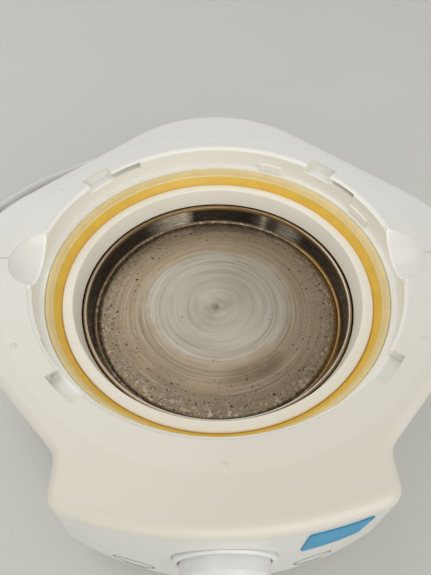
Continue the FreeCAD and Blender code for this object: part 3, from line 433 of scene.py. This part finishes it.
def pitMask(tree, look, spot):
    crowd = maskNode(tree, spot["share"], look["crowd"])
    masks = []
    for noise, stops in look["pits"]:
        crowded = mathNode(tree, "ADD", noiseNode(tree, spot["place"], *noise), crowd)
        masks.append(maskNode(tree, crowded, stops))
    return mathNode(tree, "MAXIMUM", *masks)


def smearMask(tree, look, spot):
    out = mathNode(tree, "SUBTRACT", spot["radius"], look["smearR"])
    turn = mathNode(tree, "SUBTRACT", spot["angle"], look["smearTurn"])
    off = squaresOf(tree, mathNode(tree, "DIVIDE", out, look["smearDeep"]),
                    mathNode(tree, "DIVIDE", turn, look["smearWide"]))
    patch = stretchOf(tree, off, look["smearSoft"], 0.0)
    return timesNode(tree, patch, stretchOf(tree, spot["blotch"], *look["smearSpan"]))


def floorTint(tree, look, spot, hair, pits):
    share = spot["share"]
    drift = timesNode(tree, mathNode(tree, "SUBTRACT", spot["blotch"], 0.5), look["drift"])
    front = mathNode(tree, "MAXIMUM", timesNode(tree, spot["sine"], -look["frontStain"]), 0.0)
    wander = mathNode(tree, "ADD", mathNode(tree, "ADD", share, drift), timesNode(tree, front, share))
    tint = zoneNode(tree, wander, look["zones"], look)
    rings = maskNode(tree, turnedNoise(tree, spot, *look["rings"]), look["ringStops"])
    tint = mixColour(tree, "MULTIPLY", look["ringShare"], tint, rings)
    turned = maskNode(tree, share, look["turned"])
    tint = layMark(tree, look, "darkHairs", tint, hair, turned)
    tint = layMark(tree, look, "paleHairs", tint, hair, turned)
    tint = layMark(tree, look, "middle", tint, share)
    tint = coverTint(tree, tint, smearMask(tree, look, spot), look["smearCover"], look["smudge"])
    tint = coverTint(tree, tint, pits, look["pitCover"], look["pit"])
    stain = stretchOf(tree, noiseNode(tree, spot["place"], *look["stains"]), *look["stainSpan"])
    flake = maskNode(tree, noiseNode(tree, spot["place"], *look["flakes"]), look["flakeStops"])
    rightSide = maskNode(tree, spot["cosine"], look["rightSide"])
    tint = layMark(tree, look, "rustRing", tint, share, stain)
    tint = layMark(tree, look, "scaleRing", tint, share, flake)
    return layMark(tree, look, "ochreSide", tint, share, rightSide)


# painted reflections on the wall: near-black colour, window glints at set turns and streak sheen; the foot
# keeps a real tan crust
def paintedWallGlintsAndCrust(tree, look, spot):
    turn = scaleShift(tree, spot["angle"], 1 / (2 * math.pi), 0.5)
    along = timesNode(tree, spot["angle"], look["streakAlong"])
    up = timesNode(tree, spot["z"], look["streakUp"])
    line = addNode(tree, "ShaderNodeCombineXYZ", {0: along, 1: up})
    streak = noiseNode(tree, line.outputs["Vector"], 1.0, look["streakDetail"])
    streak = stretchOf(tree, streak, *look["streakSpan"])
    brushed = scaleShift(tree, streak, look["brushed"], 1 - look["brushed"])
    paintedWindowGlints = timesNode(tree, maskNode(tree, turn, look["paintedWindowGlints"]), brushed)
    tint = mixColour(tree, "MIX", paintedWindowGlints, look["wall"], look["paintedGlint"])
    tint = coverTint(tree, tint, streak, look["paintedSheenCover"], look["paintedGlint"])
    return layMark(tree, look, "wallFoot", tint, spot["lift"])


# a painted highlight on the bead, dimmed towards the back under rust
def paintedBeadHighlightAndRust(tree, look, spot):
    across = stretchOf(tree, spot["radius"], look["rimR"] - look["beadIn"], look["rimR"] + look["beadOut"])
    tint = zoneNode(tree, across, look["beadZones"], look)
    return layMark(tree, look, "beadBack", tint, stretchOf(tree, spot["sine"], -1.0, 1.0))


def dishFinish(look):
    finish, tree, shader = newFinish("turnedDishSteel")
    spot = dishPlaces(tree, look)
    hair = turnedNoise(tree, spot, *look["hairs"])
    pits = pitMask(tree, look, spot)
    onWall = maskNode(tree, spot["lift"], look["onWall"])
    onBead = maskNode(tree, spot["lift"], look["onBead"])
    tint = floorTint(tree, look, spot, hair, pits)
    tint = mixColour(tree, "MIX", onWall, tint, paintedWallGlintsAndCrust(tree, look, spot))
    tint = mixColour(tree, "MIX", onBead, tint, paintedBeadHighlightAndRust(tree, look, spot))
    rough = scaleShift(tree, spot["blotch"], look["roughBlotch"], look["rough"])
    rough = mathNode(tree, "ADD", rough, timesNode(tree, pits, look["roughPits"]))
    rough = mathNode(tree, "SUBTRACT", rough, timesNode(tree, onWall, look["wallPolish"]))
    cut = mathNode(tree, "SUBTRACT", timesNode(tree, hair, look["hairCut"]), pits)
    tangent = addNode(tree, "ShaderNodeTangent", {}, direction_type="UV_MAP")
    feed(tree, shader, {
        "Base Color": tint,
        "Roughness": mathNode(tree, "MAXIMUM", rough, look["leastRough"]),
        "Normal": bumpNode(tree, cut, look["cut"], look["cutDeep"]),
        "Metallic": look["metallic"],
        "Anisotropic": look["anisotropic"],
        "Tangent": tangent.outputs["Tangent"],
    })
    return finish


def makeDish(shape):
    floor = rimZ - shape["depth"]
    sheet = shape["sheet"]
    rim = shape["rimR"]
    bead = shape["beadR"]
    foot = shape["floorR"]
    bend = shape["bend"]
    punch = shape["punchR"]
    flange = rimZ - shape["flangeDrop"]
    midOut, midDown = shape["punchMid"]
    inner = [(0.0, floor - shape["punchDeep"]),
             (punch * midOut, floor - shape["punchDeep"] * midDown),
             (punch, floor)]
    # the cutter leaves a slight wave on the floor
    for i in range(1, shape["floorRows"] + 1):
        r = punch + (foot - bend - punch) * i / shape["floorRows"]
        inner.append((r, floor + shape["wave"] * math.sin(i * shape["waveTurn"])))
    inner += arc(foot - bend, floor + bend, bend, -90.0, shape["bendDeg"] - 90.0, shape["bendRows"])
    roll = arc(rim - bead, rimZ - bead, bead, 180.0, 0.0, shape["beadRows"])
    outer = [(rim, flange + shape["flangeBend"]), (rim + shape["flangeBend"], flange),
             (shape["flangeR"], flange), (shape["flangeR"], flange - sheet),
             (rim - sheet, flange - sheet), (foot + sheet, floor + shape["backRise"]), (foot, floor),
             (foot - shape["backIn"], floor - sheet), (punch * 2, floor - sheet), (0.0, floor - sheet)]
    piece = spin("heatingDish", inner + roll + outer, shape["steps"], False)
    dressTurned(piece, "heating_dish", "dish_steel")


# the silicone seal: deep amber inner slope, a raised line, then the paler outer lip
seal = {
    "innerR": 88.7 * mm, "midR": 92.1 * mm, "outerR": 95.4 * mm, "lowZ": 76.5 * mm, "slopeLow": 80.5 * mm,
    "slopeHigh": 89.8 * mm, "midShare": 0.58, "sagOut": 0.175 * mm, "sagDown": 0.35 * mm, "slopeRows": 8,
    "ridge": [(0.0, 0.0), (0.1 * mm, 0.7 * mm), (0.5 * mm, 0.9 * mm)],
    "lipFlat": 1.2 * mm, "lipRound": 0.6 * mm, "steps": 224,
    "deep": (0.80, 0.475, 0.045), "warm": (0.86, 0.57, 0.085), "pale": (0.82, 0.62, 0.26),
    "edge": (0.90, 0.77, 0.46), "tintR": 88.6 * mm, "slopeStart": 0.05,
    "ridgeZones": [(-0.03, "warm"), (0.01, "edge"), (0.08, "pale")],
    "mottleScale": 110.0, "mottleDetail": 4.0, "mottleShare": 0.35, "mottleDark": (0.8, 0.76, 0.68),
    "mottleLight": (1.08, 1.06, 1.0), "rough": 0.28, "roughMottle": 0.2, "bump": 0.1, "bumpDeep": 0.4 * mm,
    "subsurface": 0.12, "subsurfaceRadius": (4.0 * mm, 2.5 * mm, 1.0 * mm), "subsurfaceScale": 0.6,
}


def sealFinish(look):
    finish, tree, shader = newFinish("amberSilicone")
    place = aboutAxis(tree)
    x, y = axesOf(tree, place)[:2]
    share = stretchOf(tree, reachOf(tree, x, y), look["tintR"], look["outerR"])
    ridge = (look["midR"] - look["tintR"]) / (look["outerR"] - look["tintR"])
    stops = [(0.0, "pale"), (look["slopeStart"], "deep")]
    stops += [(ridge + off, colour) for off, colour in look["ridgeZones"]]
    tint = zoneNode(tree, share, stops + [(1.0, "edge")], look)
    mottle = noiseNode(tree, place, look["mottleScale"], look["mottleDetail"])
    mottled = noiseTint(tree, mottle, look["mottleDark"], look["mottleLight"])
    feed(tree, shader, {
        "Base Color": mixColour(tree, "MULTIPLY", look["mottleShare"], tint, mottled),
        "Roughness": scaleShift(tree, mottle, look["roughMottle"], look["rough"]),
        "Normal": bumpNode(tree, mottle, look["bump"], look["bumpDeep"]),
        "Subsurface Weight": look["subsurface"],
        "Subsurface Radius": look["subsurfaceRadius"],
        "Subsurface Scale": look["subsurfaceScale"],
    })
    return finish


def makeSeal(shape):
    inner, mid, outer = shape["innerR"], shape["midR"], shape["outerR"]
    low, high = shape["slopeLow"], shape["slopeHigh"]
    middle = low + (high - low) * shape["midShare"]
    profile = [(inner, shape["lowZ"]), (inner, low)]
    for i in range(1, shape["slopeRows"]):
        t = i / shape["slopeRows"]
        sag = math.sin(math.pi * t)
        profile.append((inner + (mid - inner) * t + sag * shape["sagOut"],
                        low + (middle - low) * t - sag * shape["sagDown"]))
    profile += [(mid + out, middle + up) for out, up in shape["ridge"]]
    profile += [(outer - shape["lipFlat"], high), (outer - shape["lipRound"], high),
                (outer, high - shape["lipRound"]), (outer, shape["lowZ"])]
    piece = spin("lidSeal", profile, shape["steps"], True)
    dressTurned(piece, "lid_seal", "seal_amber")


# the collar: steep inner wall, soft crest, flat top
collar = {"footR": 80.12 * mm, "crestR": 82.8 * mm, "outerR": 88.5 * mm, "skirtR": 83.7 * mm,
          "seatZ": 76.5 * mm, "rise": 11.0 * mm, "footRise": -0.3 * mm, "soft": 0.9 * mm, "steps": 224}


def makeCollar(shape):
    top = rimZ + shape["rise"]
    foot = rimZ + shape["footRise"]
    seat = shape["seatZ"]
    corners = [(shape["footR"], foot), (shape["crestR"], top), (shape["outerR"], top),
               (shape["outerR"], seat), (shape["skirtR"], seat), (shape["skirtR"], foot)]
    piece = spin("dishCollar", roundProfile(corners, shape["soft"]), shape["steps"], True)
    dressTurned(piece, "dish_collar", "collar_white")


finishes = {
    "body_white": mouldedFinish("creamHousing", housingLook),
    "tray_white": mouldedFinish("creamTray", trayLook),
    "collar_white": mouldedFinish("creamCollar", collarLook),
    "dial_white": mouldedFinish("whiteDial", dialLook),
    "cord_white": mouldedFinish("whiteJacket", cordLook),
    "plug_white": mouldedFinish("whitePlug", plugLook),
    "foot_grey": mouldedFinish("rubberFoot", footLook),
    "board_green": mouldedFinish("boardMask", boardLook),
    "component_black": mouldedFinish("blackCase", blackLook),
    "bakelite": mouldedFinish("darkCase", blackLook),
    "ceramic_white": mouldedFinish("whiteCeramic", ceramicLook),
    "wire_red": mouldedFinish("redSleeve", wireLook),
    "silicone_grey": mouldedFinish("greyGasket", greyLook),
    "badge_blue": mouldedFinish("blueBadge", badgeLook),
    "sheet_steel": metalFinish("rolledSheet", sheetLook),
    "screw_steel": metalFinish("zincScrew", screwLook),
    "brass": metalFinish("plainBrass", brassLook),
    "pin_nickel": metalFinish("nickelPin", nickelLook),
    "element_steel": metalFinish("heatedSheath", sheathLook),
    "aluminium": metalFinish("plainAluminium", aluminiumLook),
    "dish_steel": dishFinish(dish),
    "seal_amber": sealFinish(seal),
}


# the carried-over solids: their finish, smooth across gentle folds and crisp at real edges
def dressSolids(creaseDeg):
    slotOf = {row["node"]: row["material_slot"] for row in frame["record"]["subparts"]}
    for name, node in nodes.items():
        node.data.materials.clear()
        node.data.materials.append(finishes[slotOf[name]])
        for face in node.data.polygons:
            face.use_smooth = True
        node.data.set_sharp_from_angle(angle=math.radians(creaseDeg))


dressSolids(32)
print("finishes on", len(nodes), "nodes")
makeDish(dish)
makeSeal(seal)
makeCollar(collar)
print("dish, seal and collar turned")


# printed marks: a plain oval with a bar below it on each side of the dial, laid on the moulding
prints = {"ink": (0.07, 0.07, 0.068), "fadedInk": grey(0.11), "inkScale": 900.0, "rough": 0.4,
          "line": 0.9 * mm, "lift": 0.06 * mm, "steps": 48, "castFromY": -0.5,
          # middle x and z, half width, half height
          "ovals": [(-43.0 * mm, 34.5 * mm, 10.5 * mm, 5.5 * mm),
                    (42.5 * mm, 35.5 * mm, 9.5 * mm, 6.5 * mm)],
          "barDrop": 2.6 * mm, "barHalf": 6.0 * mm}


def makePrints(look):
    finish, tree, shader = newFinish("greyInk")
    patchy = noiseNode(tree, placeOf(tree), look["inkScale"])
    feed(tree, shader, {"Base Color": noiseTint(tree, patchy, look["ink"], look["fadedInk"]),
                        "Roughness": look["rough"]})
    housing = nodes["upper_housing"].data
    corners = [v.co for v in housing.vertices]
    skin = BVHTree.FromPolygons(corners, [tuple(f.vertices) for f in housing.polygons])
    work = bmesh.new()
    line = look["line"]

    def onPanel(x, z):
        hit = skin.ray_cast(Vector((x, look["castFromY"], z)), Vector((0, 1, 0)))[0]
        return work.verts.new((hit.x, hit.y - look["lift"], hit.z))

    def ribbon(edges, closed):
        rows = [(onPanel(*outer), onPanel(*inner)) for outer, inner in edges]
        ahead = rows[1:] + rows[:1] if closed else rows[1:]
        for (a, b), (c, d) in zip(rows, ahead):
            work.faces.new((a, c, d, b))

    for x, z, wide, tall in look["ovals"]:
        oval = []
        for i in range(look["steps"]):
            a = 2 * math.pi * i / look["steps"]
            c, s = math.cos(a), math.sin(a)
            oval.append(((x + c * wide, z + s * tall), (x + c * (wide - line), z + s * (tall - line))))
        ribbon(oval, True)
        low = z - tall - look["barDrop"]
        ends = (x - look["barHalf"], x, x + look["barHalf"])
        ribbon([((at, low), (at, low + line)) for at in ends], False)
    bmesh.ops.recalc_face_normals(work, faces=work.faces)
    piece = addMesh("panelMarks", work)
    piece.data.materials.append(finish)
    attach(piece, "base")


makePrints(prints)
print("panel marks laid")


# mains lead, its route in mm about the dish axis: out of the boot, down to the table, round to the left,
# a tied coil, then the plug
lead = {"thick": 7.0 * mm, "length": 1.007, "exitY": 172.0, "exitZ": 14.0,
        "fall": [(0, 188, 14.0), (-5, 208, 8.0), (-22, 227, 3.8)],
        "lie": 3.7, "lying": [(-50, 239), (-82, 240), (-113, 230), (-140, 213), (-175, 188)], "runIn": 42.0,
        "coilX": -193.6, "coilY": 91.6, "coilZ": 4.9, "coilR": 44.2, "pitch": 8.6, "layer": 8.0,
        "startDeg": 140.0, "turns": 1.0, "climb": 0.5, "stepsPerTurn": 24,
        "plugZ": 7.2, "tailOut": (16, 38, 60, 76), "tailFall": -3.4, "smooth": 6}


# inwards on the table, up over half a turn, then outwards on top
def coilPoint(shape, turn, swell):
    turns, climb, pitch = shape["turns"], shape["climb"], shape["pitch"]
    inner = shape["coilR"] - pitch * turns
    if turn <= turns:
        radius, rise = shape["coilR"] - pitch * turn, 0.0
    elif turn <= turns + climb:
        radius, rise = inner, shape["layer"] * (turn - turns) / climb
    else:
        radius, rise = inner + pitch * (turn - turns - climb), shape["layer"]
    a = math.radians(shape["startDeg"] + 360 * turn)
    x = shape["coilX"] + radius * swell * math.cos(a)
    y = shape["coilY"] + radius * swell * math.sin(a)
    return Vector((x, y, shape["coilZ"] + rise))


def coilHeading(shape, turn):
    a = math.radians(shape["startDeg"] + 360 * turn)
    return Vector((-math.sin(a), math.cos(a), 0.0))


def leadRoute(shape):
    total = 2 * shape["turns"] + shape["climb"]
    count = int(total * shape["stepsPerTurn"])
    swell = 1 / math.cos(math.pi / shape["stepsPerTurn"])          # the line runs inside its points
    route = [Vector((0.0, shape["exitY"], shape["exitZ"]))]
    route += [Vector(point) for point in shape["fall"]]
    route += [Vector((x, y, shape["lie"])) for x, y in shape["lying"]]
    route.append(coilPoint(shape, 0.0, 1.0) - coilHeading(shape, 0.0) * shape["runIn"])
    route += [coilPoint(shape, total * (i + 0.5) / count, swell) for i in range(count)]
    last = coilPoint(shape, total, 1.0)
    away = coilHeading(shape, total)
    drop = shape["plugZ"] - shape["coilZ"] - shape["layer"]
    for out, fall in zip(shape["tailOut"], (0.0, shape["tailFall"], drop, drop)):
        route.append(last + away * out + Vector((0.0, 0.0, fall)))
    return route


def makeLead(shape):
    route = leadRoute(shape)
    line = bpy.data.curves.new("mainsLead", "CURVE")
    line.dimensions = "3D"
    spline = line.splines.new("NURBS")
    spline.points.add(len(route) - 1)
    for point, at in zip(spline.points, route):
        point.co = (at.x * mm, at.y * mm + axisY, at.z * mm, 1.0)
    spline.order_u = 3
    spline.use_endpoint_u = True
    line.resolution_u = shape["smooth"]
    line.bevel_depth = shape["thick"] / 2
    line.bevel_resolution = shape["smooth"]
    line.use_fill_caps = True
    line.materials.append(finishes["cord_white"])
    piece = addPiece("mainsLead", line)
    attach(piece, "base")
    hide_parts("mains_cord", "cord_coil", "plug_lead")


makeLead(lead)
print("mains lead laid")


# camera where the photograph was taken from
camera = {"x": -4.4 * mm, "y": -160.7 * mm, "aboveRim": 210.4 * mm, "pitchDown": 51.81, "heading": 1.12,
          "lens": 27.57, "sensor": 36.0, "near": 0.01}


def makeCamera(look):
    lens = bpy.data.cameras.new("photoCamera")
    lens.sensor_width = look["sensor"]
    lens.lens = look["lens"]
    lens.clip_start = look["near"]
    holder = addPiece("photoCamera", lens)
    holder.location = (look["x"], look["y"] + axisY, rimZ + look["aboveRim"])
    holder.rotation_euler = (math.radians(90 - look["pitchDown"]), 0.0, math.radians(-look["heading"]))
    bpy.context.scene.camera = holder


# pale worktop, an even room, a soft window from the front right and a softer lamp above
stage = {"floor": (0.612, 0.612, 0.567), "floorHalf": 4.0, "floorRough": 0.5, "haze": 0.97,
         "hazeScale": 6.0, "worldTint": (1.0, 1.0, 1.0), "world": 0.637, "aim": (0.0, axisY, 0.08),
         "lamps": [("windowLamp", (0.45, -1.30, 0.60), 1.5, 8.6, (1.0, 0.99, 0.97)),
                   ("ceilingLamp", (-0.65, 0.45, 1.25), 1.4, 4.6, (1.0, 1.0, 1.0))]}


def makeFloor(look):
    work = bmesh.new()
    bmesh.ops.create_grid(work, x_segments=2, y_segments=2, size=look["floorHalf"])
    floor = addMesh("worktop", work)
    finish, tree, shader = newFinish("paleWorktop")
    haze = noiseNode(tree, placeOf(tree), look["hazeScale"])
    dim = tuple(c * look["haze"] for c in look["floor"])
    feed(tree, shader, {"Base Color": noiseTint(tree, haze, dim, look["floor"]),
                        "Roughness": look["floorRough"]})
    floor.data.materials.append(finish)


def makeLight(look):
    world = bpy.data.worlds.new("softRoom")
    world.use_nodes = True
    back = world.node_tree.nodes["Background"]
    feed(world.node_tree, back, {"Color": look["worldTint"], "Strength": look["world"]})
    bpy.context.scene.world = world
    for name, at, size, power, tint in look["lamps"]:
        lamp = bpy.data.lights.new(name, "AREA")
        lamp.shape = "DISK"
        lamp.size = size
        lamp.energy = power
        lamp.color = tint
        holder = addPiece(name, lamp)
        holder.location = at
        holder.rotation_euler = (Vector(look["aim"]) - Vector(at)).to_track_quat("-Z", "Y").to_euler()


makeCamera(camera)
makeFloor(stage)
makeLight(stage)
bpy.context.scene.view_settings.view_transform = "Standard"
print("camera and stage set")
